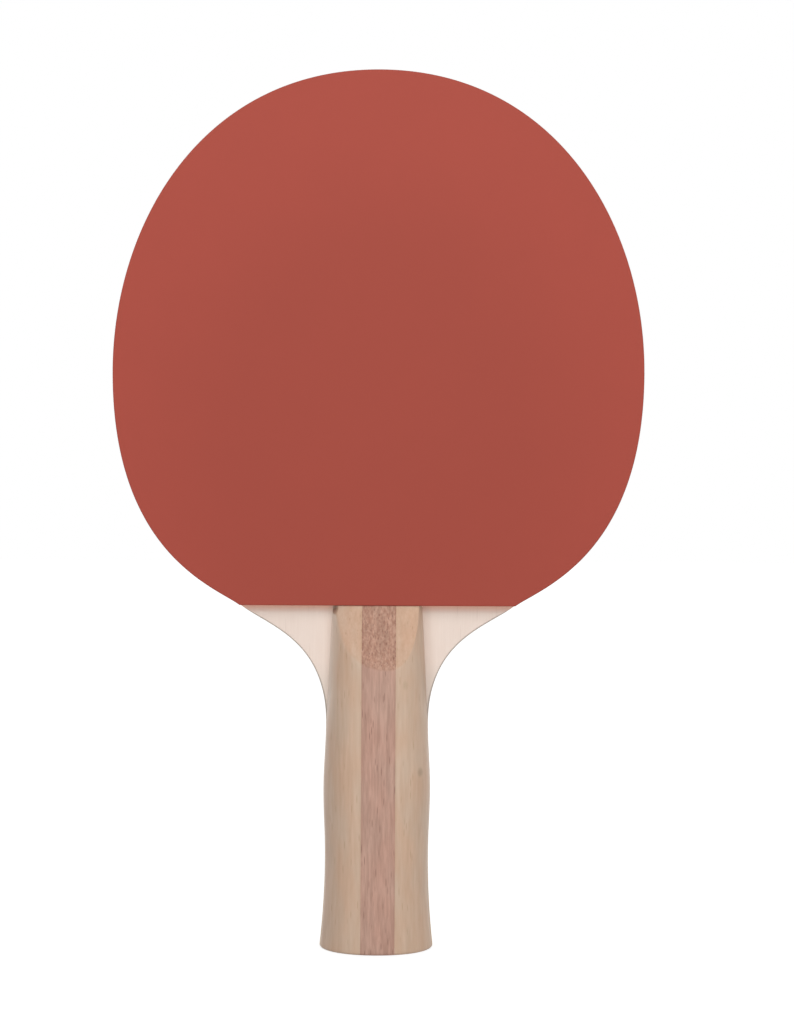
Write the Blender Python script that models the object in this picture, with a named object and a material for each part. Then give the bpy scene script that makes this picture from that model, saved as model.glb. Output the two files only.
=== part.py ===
"""Table tennis racket: a laminated wooden blade, a glued-up flared grip and two rubber coverings.

The racket stands on the end of its grip. +Z runs up the grip to the blade, +X to the right, and
the red covering faces -Y. The origin is the middle of the grip's end.
"""

import math

import bmesh
import bpy
from mathutils import Vector
from mathutils.geometry import interpolate_bezier

# Sizes are in millimetres and angles in degrees, unless a comment says otherwise
MM = 0.001

# Outline of the blade, seen from the front
TOTAL_LENGTH = 248.5
BLADE_WIDTH = 150.0
WIDEST_HEIGHT = 163.2
SHOULDER_WIDTH = 77.4
SHOULDER_HEIGHT = 97.1
SHOULDER_LEAN = 51.25
NECK_WIDTH = 29.1
NECK_HEIGHT = 64.0

# How far each curve keeps its first direction, as a share of the run that it rounds off
CROWN_FULLNESS = 0.663
UPPER_SIDE_FULLNESS = 0.493
LOWER_SIDE_FULLNESS = 0.794
THROAT_FULLNESS = 0.711
SHOULDER_PULL_UP = 7.8
SHOULDER_PULL_DOWN = 9.6

# Plies of the blade, from the middle out, with the film of glue between them
CORE_PLY = 3.2
CROSSBAND_PLY = 0.8
FACE_PLY = 0.6
GLUE_FILM = 0.05
THROAT_ROUNDING = 0.4

# Grip: its two halves are each three strips glued side by side on the blade's face
GRIP_LENGTH = 97.2
CENTRE_STRIP = 9.6
BUTT_WIDTH = 32.4
WAIST_WIDTH = 29.4
BELLY_WIDTH = 30.4
GRIP_TOP_WIDTH = 25.7
BUTT_DEPTH = 24.4
WAIST_DEPTH = 22.4
BELLY_DEPTH = 23.2
NECK_DEPTH = 22.6
WAIST_HEIGHT = 26.0
BELLY_HEIGHT = 45.0
BUTT_ROUNDING = 0.8

# Exponent of the grip's oval section: 2 is an ellipse, and more is squarer
BUTT_OVAL = 2.1
TOP_OVAL = 2.5

# Above the neck the narrowing starts gently, and the sanded edge runs out into the square one
GRIP_NARROWING = 1.2
SANDING_RUN_OUT = 12.0

# Ramp that a sanding drum grinds into the top of each grip half, down to a lip above the blade
RAMP_LENGTH = 17.2
RAMP_LIP = 2.8
DRUM_RADIUS = 150.0
DRUM_OVERRUN = 9.0

# Rubber coverings, cut straight across and pushed up against the grip's end
COVERING_GAP = 0.05
SPONGE = 1.5
TOP_SHEET = 1.6
SHEET_ROUNDING = 0.3

# Pimples moulded on the underside of a top sheet: the gaps between them open at its cut edge
PIMPLE_PITCH = 2.25
PIMPLE_HEIGHT = 0.8
GAP_OPENING = 0.8
GAP_REACH = 1.1
GAP_OVERCUT = 0.4

# Number of facets along each stretch
CROWN_FACETS = 30
SIDE_FACETS = 22
THROAT_FACETS = 14
GRIP_FACET_LENGTH = 3.6
ROUNDING_FACETS = 3
CENTRE_STRIP_FACETS = 6
SIDE_STRIP_FACETS = 8
DRUM_FACETS = 14
SHARP_ANGLE = 20.0

# Distances from the middle of the blade
CORE_FACE = CORE_PLY / 2
CROSSBAND_BACK = CORE_FACE + GLUE_FILM
CROSSBAND_FACE = CROSSBAND_BACK + CROSSBAND_PLY
FACE_PLY_BACK = CROSSBAND_FACE + GLUE_FILM
BLADE_FACE = FACE_PLY_BACK + FACE_PLY
GRIP_FOOT = BLADE_FACE + GLUE_FILM
SPONGE_BACK = BLADE_FACE + GLUE_FILM
SPONGE_FACE = SPONGE_BACK + SPONGE
SHEET_BACK = SPONGE_FACE + GLUE_FILM
SHEET_FACE = SHEET_BACK + TOP_SHEET

FRONT = -1
BACK = 1


def clear_scene():
    for old in list(bpy.data.objects):
        bpy.data.objects.remove(old, do_unlink=True)


def rgb(hex_colour):
    """The linear colour of an sRGB hex value."""
    channels = [int(hex_colour[start : start + 2], 16) / 255 for start in (1, 3, 5)]
    return [c / 12.92 if c <= 0.04045 else ((c + 0.055) / 1.055) ** 2.4 for c in channels]


def finish(part, hex_colour, roughness):
    """Gives a piece its own plain material."""
    material = bpy.data.materials.new(part.name)
    material.use_nodes = True
    shader = material.node_tree.nodes["Principled BSDF"]
    shader.inputs["Base Color"].default_value = (*rgb(hex_colour), 1.0)
    shader.inputs["Roughness"].default_value = roughness
    shader.inputs["Metallic"].default_value = 0.0
    part.data.materials.append(material)


# Widths and depths of the grip at each height


def ease(share):
    """Half a cosine wave from 0 to 1, level at both ends."""
    return (1 - math.cos(math.pi * share)) / 2


def swell(height, butt, waist, belly, neck):
    """Flares below the waist, then waves out to the belly and in to the neck."""
    if height < WAIST_HEIGHT:
        return waist + (butt - waist) * (1 - height / WAIST_HEIGHT) ** 2
    if height < BELLY_HEIGHT:
        share = (height - WAIST_HEIGHT) / (BELLY_HEIGHT - WAIST_HEIGHT)
        return waist + (belly - waist) * ease(share)
    if height < NECK_HEIGHT:
        share = (height - BELLY_HEIGHT) / (NECK_HEIGHT - BELLY_HEIGHT)
        return belly + (neck - belly) * ease(share)
    return neck


def butt_draw_in(height):
    """How far the quarter round at the butt draws the surface in."""
    if height >= BUTT_ROUNDING:
        return 0.0
    below = BUTT_ROUNDING - height
    return BUTT_ROUNDING - math.sqrt(BUTT_ROUNDING**2 - below**2)


def grip_half_width(height):
    width = swell(height, BUTT_WIDTH, WAIST_WIDTH, BELLY_WIDTH, NECK_WIDTH)
    if height > NECK_HEIGHT:
        share = (height - NECK_HEIGHT) / (GRIP_LENGTH - NECK_HEIGHT)
        width += (GRIP_TOP_WIDTH - NECK_WIDTH) * share**GRIP_NARROWING
    return width / 2 - butt_draw_in(height)


def grip_half_depth(height):
    depth = swell(height, BUTT_DEPTH, WAIST_DEPTH, BELLY_DEPTH, NECK_DEPTH)
    return depth / 2 - butt_draw_in(height)


def oval_exponent(height):
    return BUTT_OVAL + (TOP_OVAL - BUTT_OVAL) * height / GRIP_LENGTH


def oval_point(height, angle):
    """Point of the superellipse |x / width| ** n + |y / depth| ** n = 1 at an angle from 0 to pi."""
    power = 2 / oval_exponent(height)
    across = math.copysign(abs(math.cos(angle)) ** power, math.cos(angle))
    return grip_half_width(height) * across, grip_half_depth(height) * math.sin(angle) ** power


def angle_at_depth(height, depth):
    """Angle at which the oval is this far from the middle of the blade, on the +X side."""
    share = depth / grip_half_depth(height)
    return math.asin(share ** (oval_exponent(height) / 2))


def angle_at_width(height, across):
    """Angle at which the oval is this far from the grip's centre plane, on either side."""
    share = abs(across) / grip_half_width(height)
    angle = math.acos(share ** (oval_exponent(height) / 2))
    return angle if across >= 0 else math.pi - angle


def sanding(height, depth):
    """How far the oval draws the blade's edge in, fading out above the neck."""
    at = min(height, NECK_HEIGHT)
    drawn_in = grip_half_width(at) - oval_point(at, angle_at_depth(at, depth))[0]
    return drawn_in * max(0.0, 1 - (height - at) / SANDING_RUN_OUT)


def steps_between(start, end, count):
    return [start + (end - start) * step / count for step in range(count + 1)]


def grip_heights(top):
    """Heights of the grip's sections: close together round the butt's edge, then even."""
    round_angles = steps_between(0.0, math.pi / 2, ROUNDING_FACETS)
    heights = [BUTT_ROUNDING * (1 - math.cos(angle)) for angle in round_angles]
    stops = [BUTT_ROUNDING, NECK_HEIGHT]
    if top > NECK_HEIGHT:
        stops.append(top)
    for start, end in zip(stops, stops[1:]):
        count = max(1, round((end - start) / GRIP_FACET_LENGTH))
        heights += steps_between(start, end, count)[1:]
    return heights


# Outlines of the blade and of its coverings


def curve(start, start_pull, end_pull, end, facets):
    """Points of a cubic curve, given its ends and the points that they are pulled towards."""
    knots = [Vector((x, 0.0, z)) for x, z in (start, start_pull, end_pull, end)]
    return [(p.x, p.z) for p in interpolate_bezier(*knots, facets + 1)]


def blade_side():
    """The right side of the blade from the middle of its crown down to the neck, as (x, z)."""
    half = BLADE_WIDTH / 2
    rise = TOTAL_LENGTH - WIDEST_HEIGHT
    drop = WIDEST_HEIGHT - SHOULDER_HEIGHT
    crown = (0.0, TOTAL_LENGTH)
    crown_pull = (half * CROWN_FULLNESS, TOTAL_LENGTH)
    widest = (half, WIDEST_HEIGHT)
    upper_pull = (half, WIDEST_HEIGHT + rise * UPPER_SIDE_FULLNESS)
    lower_pull = (half, WIDEST_HEIGHT - drop * LOWER_SIDE_FULLNESS)
    shoulder = (SHOULDER_WIDTH / 2, SHOULDER_HEIGHT)
    lean_x = math.sin(math.radians(SHOULDER_LEAN))
    lean_z = math.cos(math.radians(SHOULDER_LEAN))
    pull_up = (shoulder[0] + SHOULDER_PULL_UP * lean_x, shoulder[1] + SHOULDER_PULL_UP * lean_z)
    pull_down = (
        shoulder[0] - SHOULDER_PULL_DOWN * lean_x,
        shoulder[1] - SHOULDER_PULL_DOWN * lean_z,
    )
    neck = (NECK_WIDTH / 2, NECK_HEIGHT)
    throat_pull = (neck[0], NECK_HEIGHT + (SHOULDER_HEIGHT - NECK_HEIGHT) * THROAT_FULLNESS)
    side = curve(crown, crown_pull, upper_pull, widest, CROWN_FACETS)
    side += curve(widest, lower_pull, pull_up, shoulder, SIDE_FACETS)[1:]
    side += curve(shoulder, pull_down, throat_pull, neck, THROAT_FACETS)[1:]
    return side


def mirrored(side):
    """Closes a right side, which starts on the centre line, with its mirror image."""
    return side + [(-x, z) for x, z in reversed(side[1:])]


def ply_outline(depth):
    """The blade and the part of the grip below it, at this distance from the blade's middle."""
    side = [(x - sanding(z, depth), z) for x, z in blade_side()]
    for height in reversed(grip_heights(NECK_HEIGHT)[:-1]):
        side.append((grip_half_width(height) - sanding(height, depth), height))
    return mirrored(side)


def covering_side():
    """The right side of a covering: the blade's, down to a straight cut at the grip's end."""
    cut = GRIP_LENGTH + COVERING_GAP
    side = []
    for (x, z), (next_x, next_z) in zip(blade_side(), blade_side()[1:]):
        side.append((x, z))
        if next_z <= cut:
            side.append((x + (next_x - x) * (z - cut) / (z - next_z), cut))
            break
    return side


def stops_along(path, spacing):
    """Places and directions at an even spacing along a path, with none at its two ends."""
    points = [Vector(point) for point in path]
    runs = [(end - start).length for start, end in zip(points, points[1:])]
    count = round(sum(runs) / spacing)
    travelled = 0.0
    stops = []
    for start, end, run in zip(points, points[1:], runs):
        while len(stops) + 1 < count and (len(stops) + 1) * sum(runs) / count <= travelled + run:
            share = ((len(stops) + 1) * sum(runs) / count - travelled) / run
            stops.append((start.lerp(end, share), (end - start).normalized()))
        travelled += run
    return stops


# Solids


def loft(name, rings):
    """A closed solid through rings of points that match one to one."""
    bm = bmesh.new()
    loops = []
    for ring in rings:
        corners = [bm.verts.new(Vector(point) * MM) for point in ring]
        loops.append([bm.edges.new(pair) for pair in zip(corners, corners[1:] + corners[:1])])
    for lower, upper in zip(loops, loops[1:]):
        bmesh.ops.bridge_loops(bm, edges=lower + upper)
    bmesh.ops.contextual_create(bm, geom=loops[0])
    bmesh.ops.contextual_create(bm, geom=loops[-1])
    bmesh.ops.recalc_face_normals(bm, faces=bm.faces)
    return place(name, bm)


def shade(mesh):
    mesh.shade_smooth()
    mesh.set_sharp_from_angle(angle=math.radians(SHARP_ANGLE))


def place(name, bm):
    mesh = bpy.data.meshes.new(name)
    bm.to_mesh(mesh)
    bm.free()
    shade(mesh)
    part = bpy.data.objects.new(name, mesh)
    bpy.context.scene.collection.objects.link(part)
    return part


def layer(name, side, inner, outer, outline):
    """A flat layer between two distances from the blade's middle; outline gives its edge at each."""
    rings = [[(x, side * depth, z) for x, z in outline(depth)] for depth in (inner, outer)]
    return loft(name, rings)


def soften_edges(part, radius, chosen):
    """Rounds the edges whose both ends satisfy chosen, which takes a point in millimetres."""
    bm = bmesh.new()
    bm.from_mesh(part.data)
    edges = [edge for edge in bm.edges if all(chosen(vert.co / MM) for vert in edge.verts)]
    bmesh.ops.bevel(
        bm, geom=edges, offset=radius * MM, segments=2, profile=0.5, affect="EDGES", clamp_overlap=True
    )
    bm.to_mesh(part.data)
    bm.free()
    shade(part.data)


def strip_section(height, side, left, right, facets):
    """Section of one grip strip; a left or right of None is the foot of the oval there."""
    foot_angle = angle_at_depth(height, GRIP_FOOT)
    start = foot_angle if right is None else angle_at_width(height, right)
    end = math.pi - foot_angle if left is None else angle_at_width(height, left)
    ring = [oval_point(height, angle) for angle in steps_between(start, end, facets)]
    if left is not None:
        ring.append((left, GRIP_FOOT))
    if right is not None:
        ring.append((right, GRIP_FOOT))
    return [(x, side * y, height) for x, y in ring]


def drum_cutter(name, side):
    """The waste that the drum grinds off: an arc through the ramp's two ends, closed outwards."""
    crown = grip_half_depth(GRIP_LENGTH - RAMP_LENGTH)
    foot = Vector((crown, GRIP_LENGTH - RAMP_LENGTH))
    lip = Vector((BLADE_FACE + RAMP_LIP, GRIP_LENGTH))
    chord = lip - foot
    sagitta_leg = math.sqrt(DRUM_RADIUS**2 - (chord.length / 2) ** 2)
    outward = Vector((chord.y, -chord.x)).normalized()
    centre = (foot + lip) / 2 + outward * sagitta_leg
    foot_angle = math.atan2(foot.y - centre.y, foot.x - centre.x) % (2 * math.pi)
    lip_angle = math.atan2(lip.y - centre.y, lip.x - centre.x) % (2 * math.pi)
    overrun = math.copysign(DRUM_OVERRUN / DRUM_RADIUS, lip_angle - foot_angle)
    angles = steps_between(foot_angle - overrun, lip_angle + overrun, DRUM_FACETS)
    profile = [
        (centre.x + DRUM_RADIUS * math.cos(angle), centre.y + DRUM_RADIUS * math.sin(angle))
        for angle in angles
    ]
    outside = crown + DRUM_OVERRUN
    profile.append((outside, profile[-1][1]))
    profile.append((outside, profile[0][1]))
    reach = BUTT_WIDTH
    rings = [[(x, side * y, z) for y, z in profile] for x in (-reach, reach)]
    return as_cutter(loft(name, rings))


def pimple_gap_cutter(name, side):
    """A wedge for each gap between pimples, pointing in from the sheet's cut edge."""
    right = covering_side()
    left = [(-x, z) for x, z in reversed(right)]
    cut_edge = [right[-1], left[0]]
    bm = bmesh.new()
    for at, along in stops_along(left + right[1:], PIMPLE_PITCH) + stops_along(cut_edge, PIMPLE_PITCH):
        inward = Vector((along.y, -along.x))
        half_opening = along * (GAP_OPENING / 2) * (1 + GAP_OVERCUT / GAP_REACH)
        mouth = at - inward * GAP_OVERCUT
        corners = (at + inward * GAP_REACH, mouth + half_opening, mouth - half_opening)
        ends = []
        for depth in (SHEET_BACK - GAP_OVERCUT, SHEET_BACK + PIMPLE_HEIGHT):
            points = [Vector((x, side * depth, z)) * MM for x, z in corners]
            ends.append([bm.verts.new(point) for point in points])
            bm.faces.new(ends[-1])
        for first, second in ((0, 1), (1, 2), (2, 0)):
            bm.faces.new((ends[0][first], ends[0][second], ends[1][second], ends[1][first]))
    bmesh.ops.recalc_face_normals(bm, faces=bm.faces)
    return as_cutter(place(name, bm))


def as_cutter(part):
    part.hide_render = True
    part.display_type = "WIRE"
    return part


def cut_away(part, cutter):
    """Takes the cutter's shape out of the piece, and shades the new edges sharp."""
    cut = part.modifiers.new(cutter.name, "BOOLEAN")
    cut.operation = "DIFFERENCE"
    cut.solver = "EXACT"
    cut.object = cutter
    graph = bpy.context.evaluated_depsgraph_get()
    part.data = bpy.data.meshes.new_from_object(part.evaluated_get(graph))
    part.modifiers.clear()
    shade(part.data)


# The pieces


def make_blade(racket):
    core = loft(
        "blade_core_ply",
        [
            [(x, depth, z) for x, z in ply_outline(abs(depth))]
            for depth in (-CORE_FACE, 0.0, CORE_FACE)
        ],
    )
    finish(core, "#D9BE94", 0.75)
    core.parent = racket
    for side, face in ((FRONT, "front"), (BACK, "back")):
        crossband = layer(
            f"{face}_crossband_ply", side, CROSSBAND_BACK, CROSSBAND_FACE, ply_outline
        )
        finish(crossband, "#C9A77C", 0.75)
        crossband.parent = racket
        ply = layer(f"{face}_face_ply", side, FACE_PLY_BACK, BLADE_FACE, ply_outline)
        finish(ply, "#E7D4C9", 0.6)
        ply.parent = racket
        soften_edges(ply, min(THROAT_ROUNDING, 0.8 * FACE_PLY), on_open_throat_edge)


def on_open_throat_edge(point):
    """True on the outer edge of a face ply, between the neck and the coverings."""
    outer = abs(abs(point.y) - BLADE_FACE) < GLUE_FILM / 2
    return outer and NECK_HEIGHT < point.z < GRIP_LENGTH


def make_grip(racket):
    seam = CENTRE_STRIP / 2
    strips = (
        ("left", None, -seam - GLUE_FILM, SIDE_STRIP_FACETS, "#C2A792"),
        ("centre", -seam, seam, CENTRE_STRIP_FACETS, "#B59181"),
        ("right", seam + GLUE_FILM, None, SIDE_STRIP_FACETS, "#C2A792"),
    )
    for side, face in ((FRONT, "front"), (BACK, "back")):
        drum = drum_cutter(f"{face}_ramp_drum", side)
        for place_name, left, right, facets, colour in strips:
            sections = [
                strip_section(height, side, left, right, facets)
                for height in grip_heights(GRIP_LENGTH)
            ]
            strip = loft(f"{face}_grip_{place_name}_strip", sections)
            cut_away(strip, drum)
            finish(strip, colour, 0.55)
            strip.parent = racket


def make_coverings(racket):
    outline = mirrored(covering_side())
    for side, face, colour in ((FRONT, "front", "#A64F44"), (BACK, "back", "#26262A")):
        sponge = layer(f"{face}_sponge", side, SPONGE_BACK, SPONGE_FACE, lambda depth: outline)
        finish(sponge, "#E5CFA0", 0.9)
        sponge.parent = racket
        sheet = layer(f"{face}_rubber_sheet", side, SHEET_BACK, SHEET_FACE, lambda depth: outline)
        soften_edges(
            sheet,
            min(SHEET_ROUNDING, 0.8 * (TOP_SHEET - PIMPLE_HEIGHT)),
            lambda point: abs(abs(point.y) - SHEET_FACE) < GLUE_FILM / 2,
        )
        cut_away(sheet, pimple_gap_cutter(f"{face}_pimple_gaps", side))
        finish(sheet, colour, 0.6)
        sheet.parent = racket


def main():
    clear_scene()
    racket = bpy.data.objects.new("racket", None)
    bpy.context.scene.collection.objects.link(racket)
    make_blade(racket)
    make_grip(racket)
    make_coverings(racket)


main()
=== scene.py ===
"""Table tennis racket for the camera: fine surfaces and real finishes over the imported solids.

The racket stands on the end of its grip. +Z runs up the grip to the blade, +X to the right, and
the red covering faces -Y. Sizes are in millimetres and angles in radians, unless a comment says
otherwise. The shapes follow the same formulas as the solids, with many more points.
"""

import math
from functools import partial

import bmesh
import bpy
import numpy as np
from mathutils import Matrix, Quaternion, Vector


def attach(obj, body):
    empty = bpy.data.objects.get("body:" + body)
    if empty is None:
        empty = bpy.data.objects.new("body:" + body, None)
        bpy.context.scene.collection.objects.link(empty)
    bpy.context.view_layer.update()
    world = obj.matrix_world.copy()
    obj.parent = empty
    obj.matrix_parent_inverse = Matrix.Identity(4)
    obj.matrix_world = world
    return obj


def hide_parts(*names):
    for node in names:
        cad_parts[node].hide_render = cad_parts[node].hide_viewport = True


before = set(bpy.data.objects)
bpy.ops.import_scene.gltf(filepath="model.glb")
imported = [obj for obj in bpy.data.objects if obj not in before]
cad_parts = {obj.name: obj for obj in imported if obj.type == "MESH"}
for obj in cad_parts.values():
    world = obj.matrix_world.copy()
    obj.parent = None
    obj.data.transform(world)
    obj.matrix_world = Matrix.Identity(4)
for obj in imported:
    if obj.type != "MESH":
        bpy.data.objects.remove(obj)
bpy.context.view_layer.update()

MM = 0.001
FRONT = -1
BACK = 1

# Outline of the blade, seen from the front: three curves a side, which meet at the widest point
# and at the shoulder. A fullness is the share of its curve's width or height that a pull reaches
# along, and the two pulls at the shoulder are lengths.
TOTAL_LENGTH = 248.5
BLADE_WIDTH = 150.0
WIDEST_HEIGHT = 163.2
SHOULDER_WIDTH = 77.4
SHOULDER_HEIGHT = 97.1
SHOULDER_LEAN = math.radians(51.25)
NECK_WIDTH = 29.1
NECK_HEIGHT = 64.0
CROWN_FULLNESS = 0.663
UPPER_SIDE_FULLNESS = 0.493
LOWER_SIDE_FULLNESS = 0.794
THROAT_FULLNESS = 0.711
SHOULDER_PULL_UP = 7.8
SHOULDER_PULL_DOWN = 9.6

# Plies of the blade, as distances from its middle, with a film of glue between them. The face plies
# are rounded in the open throat, and the rounding fades out at both its ends. Sanding hollows the
# softer plies a little.
CORE_FACE = 1.6
CROSSBAND_BACK = 1.65
CROSSBAND_FACE = 2.45
FACE_PLY_BACK = 2.5
BLADE_FACE = 3.1
THROAT_ROUNDING = 0.55
ROUNDING_FADE = 3.0
PLY_HOLLOW = 0.05

# Grip: the depth at which its strips stand on the blade, half the centre strip's width and how
# far that strip lies to the right of the middle, the widths and depths of the oval along the grip,
# and the oval's exponents. Above the neck the grip narrows with a power of the height, and the
# sanding of the plies' edges runs out.
GRIP_LENGTH = 97.2
GRIP_FOOT = 3.15
SEAM = 4.8
STRIP_SHIFT = 0.5
GLUE_LINE = 0.01
BUTT_WIDTH = 32.4
WAIST_WIDTH = 29.4
BELLY_WIDTH = 30.4
GRIP_TOP_WIDTH = 25.7
BUTT_DEPTH = 24.4
WAIST_DEPTH = 22.4
BELLY_DEPTH = 23.2
NECK_DEPTH = 22.6
WAIST_HEIGHT = 26.0
BELLY_HEIGHT = 45.0
BUTT_ROUNDING = 0.8
BUTT_OVAL = 2.1
TOP_OVAL = 2.5
GRIP_NARROWING = 1.2
SANDING_RUN_OUT = 12.0

# Ramp ground by a drum into the top of each grip half
RAMP_FOOT = 80.0
RAMP_LIP = 5.9
DRUM_RADIUS = 150.0

# The drum met the wood slightly askew at the ramp's foot and square at its lip. The ramp's edge was
# eased by hand, more on the left than on the right. The skew and the lessening are for each
# millimetre across, and the easing starts a little below the ramp's foot.
DRUM_SKEW = 0.09
EASED_EDGE = 0.5
EASED_LESS = 0.035
EASED_LEAST = 0.1
EASED_RUN = 4.0

# Small splinter missing from the top outer corner of the front left strip, and the least share of
# the wood's thickness that is left there
CHIP_ACROSS = -12.1
CHIP_HEIGHT = 96.7
CHIP_HALF_WIDTH = 0.8
CHIP_HALF_LENGTH = 1.3
CHIP_DEPTH = 0.8
CHIP_LEAVES = 0.35

# Coverings: sponge and top sheet, as distances from the blade's middle, cut straight at the grip's
# end. The sponge's edge lies just inside the sheet's.
COVERING_CUT = 97.25
COVERING_MIDDLE = 165.0
SPONGE_BACK = 3.15
SPONGE_FACE = 4.65
SPONGE_INSET = 0.02
SPONGE_HOLLOW = 0.12
SHEET_BACK = 4.7
SHEET_FACE = 6.3
SHEET_ROUNDING = 0.3

# Pimples moulded on the underside of a top sheet stand in rows, and show where the edge cuts
# them: their radius at shares of their height, with a fillet at the root, the wall above the roots,
# how far in a gap between them is open, and how far in the underside and the face begin to be flat.
# The first pimple in from a point of the edge is looked for this many places round it.
PIMPLE_PITCH = 2.4
PIMPLE_HEIGHT = 0.8
PIMPLE_RADII = ((0, 0.85), (0.5, 0.87), (0.8, 0.95), (1, 1.1))
ROOT_WALL = 0.02
GAP_REACH = 1.6
EDGE_MARGIN = 2.2
FACE_MARGIN = 0.9
PLACES_ROUND = 2

# Fineness: steps along the outlines in millimetres, and points or rings in a run
CURVE_POINTS = 1500
PLY_STEP = 0.5
SPONGE_STEP = 0.4
SHEET_STEP = 0.13
PLY_RINGS = 7
CORE_RINGS = 11
SPONGE_RINGS = 9
SHEET_ROUND_RINGS = 6
BUTT_RINGS = 9
GRIP_RINGS = 90
RAMP_RINGS = 140
SIDE_POINTS = 72
CROWN_POINTS = 49
WALL_POINTS = 5

# Rings that would fall together are kept a little apart. Corners closer than a distance in metres
# are one point, and edges that turn more than an angle are crisp.
RING_GAP = 1e-3
SAME_POINT = 5e-7
CRISP_TURN = math.radians(14)


# Outlines: arrays of (x, z), worked out as whole curves


def cubic(start, start_pull, end_pull, end):
    """Cubic curve: its ends and two pulls weighted (1-t)^3, 3t(1-t)^2, 3t^2(1-t) and t^3."""
    t = np.linspace(0, 1, CURVE_POINTS)[:, None]
    knots = [np.array(knot, float) for knot in (start, start_pull, end_pull, end)]
    weights = ((1 - t) ** 3, 3 * t * (1 - t) ** 2, 3 * t**2 * (1 - t), t**3)
    return sum(weight * knot for weight, knot in zip(weights, knots))


def even_steps(path, step):
    """The same path, resampled by straight runs to points that lie evenly along it."""
    runs = np.hypot(*np.diff(path, axis=0).T)
    travelled = np.concatenate([[0.0], np.cumsum(runs)])
    stops = np.linspace(0, travelled[-1], round(travelled[-1] / step) + 1)
    return np.column_stack([np.interp(stops, travelled, path[:, axis]) for axis in (0, 1)])


def blade_side():
    """Right side of the blade from crown to neck: three cubics, one above the widest point, one
    from there to the shoulder and one down the throat."""
    half = BLADE_WIDTH / 2
    rise = TOTAL_LENGTH - WIDEST_HEIGHT
    drop = WIDEST_HEIGHT - SHOULDER_HEIGHT
    throat = SHOULDER_HEIGHT - NECK_HEIGHT
    lean = np.array([math.sin(SHOULDER_LEAN), math.cos(SHOULDER_LEAN)])
    crown = (0, TOTAL_LENGTH)
    crown_pull = (half * CROWN_FULLNESS, TOTAL_LENGTH)
    upper_pull = (half, WIDEST_HEIGHT + rise * UPPER_SIDE_FULLNESS)
    widest = (half, WIDEST_HEIGHT)
    lower_pull = (half, WIDEST_HEIGHT - drop * LOWER_SIDE_FULLNESS)
    shoulder = np.array([SHOULDER_WIDTH / 2, SHOULDER_HEIGHT])
    pull_up = shoulder + SHOULDER_PULL_UP * lean
    pull_down = shoulder - SHOULDER_PULL_DOWN * lean
    neck_pull = (NECK_WIDTH / 2, NECK_HEIGHT + throat * THROAT_FULLNESS)
    neck = (NECK_WIDTH / 2, NECK_HEIGHT)
    upper_side = cubic(crown, crown_pull, upper_pull, widest)
    lower_side = cubic(widest, lower_pull, pull_up, shoulder)
    throat_side = cubic(shoulder, pull_down, neck_pull, neck)
    return np.concatenate([upper_side, lower_side[1:], throat_side[1:]])


def swell(height, butt, waist, belly, neck):
    """Parabola from butt to waist, then half cosine waves out to the belly and in to the neck."""
    flare = waist + (butt - waist) * (1 - height / WAIST_HEIGHT) ** 2
    out = (1 - np.cos(np.pi * (height - WAIST_HEIGHT) / (BELLY_HEIGHT - WAIST_HEIGHT))) / 2
    back = (1 - np.cos(np.pi * (height - BELLY_HEIGHT) / (NECK_HEIGHT - BELLY_HEIGHT))) / 2
    return np.select(
        [height < WAIST_HEIGHT, height < BELLY_HEIGHT, height < NECK_HEIGHT],
        [flare, waist + (belly - waist) * out, belly + (neck - belly) * back],
        neck,
    )


def butt_draw_in(height):
    """Quarter round at the butt: radius less the root of the radius squared less the square of
    how far below the round's top it is."""
    below = np.clip(BUTT_ROUNDING - height, 0, BUTT_ROUNDING)
    return BUTT_ROUNDING - np.sqrt(BUTT_ROUNDING**2 - below**2)


def grip_half_width(height):
    """Half the swelling width, which narrows above the neck with a power of the height."""
    width = swell(height, BUTT_WIDTH, WAIST_WIDTH, BELLY_WIDTH, NECK_WIDTH)
    share = np.clip((height - NECK_HEIGHT) / (GRIP_LENGTH - NECK_HEIGHT), 0, None)
    narrowed = (GRIP_TOP_WIDTH - NECK_WIDTH) * share**GRIP_NARROWING
    return (width + narrowed) / 2 - butt_draw_in(height)


def grip_half_depth(height):
    """Half the swelling depth, less the butt's rounding."""
    depth = swell(height, BUTT_DEPTH, WAIST_DEPTH, BELLY_DEPTH, NECK_DEPTH)
    return depth / 2 - butt_draw_in(height)


def oval_exponent(height):
    """Exponent n of the oval, which rises evenly up the grip and squares it."""
    return BUTT_OVAL + (TOP_OVAL - BUTT_OVAL) * height / GRIP_LENGTH


def oval(height, angle):
    """Superellipse: x is the half width times cos^(2/n), y the half depth times sin^(2/n)."""
    power = 2 / oval_exponent(height)
    across = np.sign(np.cos(angle)) * np.abs(np.cos(angle)) ** power
    return grip_half_width(height) * across, grip_half_depth(height) * np.sin(angle) ** power


def angle_at_depth(height, depth):
    """Angle of the oval at a depth: the arc sine of (y / half depth)^(n/2)."""
    share = np.clip(depth / grip_half_depth(height), 0, 1)
    return np.arcsin(share ** (oval_exponent(height) / 2))


def angle_at_width(height, across):
    """Angle of the oval at a distance across: the arc cosine of (x / half width)^(n/2)."""
    return np.arccos((across / grip_half_width(height)) ** (oval_exponent(height) / 2))


def ramp_depth(height):
    """Circle of the drum's radius through the ramp's foot on the crown and its lip at the top."""
    foot = np.array([float(grip_half_depth(np.array(RAMP_FOOT))), RAMP_FOOT])
    lip = np.array([RAMP_LIP, GRIP_LENGTH])
    chord = lip - foot
    length = math.hypot(*chord)
    outward = np.array([chord[1], -chord[0]]) / length
    middle = (foot + lip) / 2 + outward * math.sqrt(DRUM_RADIUS**2 - (length / 2) ** 2)
    return middle[0] - np.sqrt(DRUM_RADIUS**2 - (height - middle[1]) ** 2)


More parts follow.
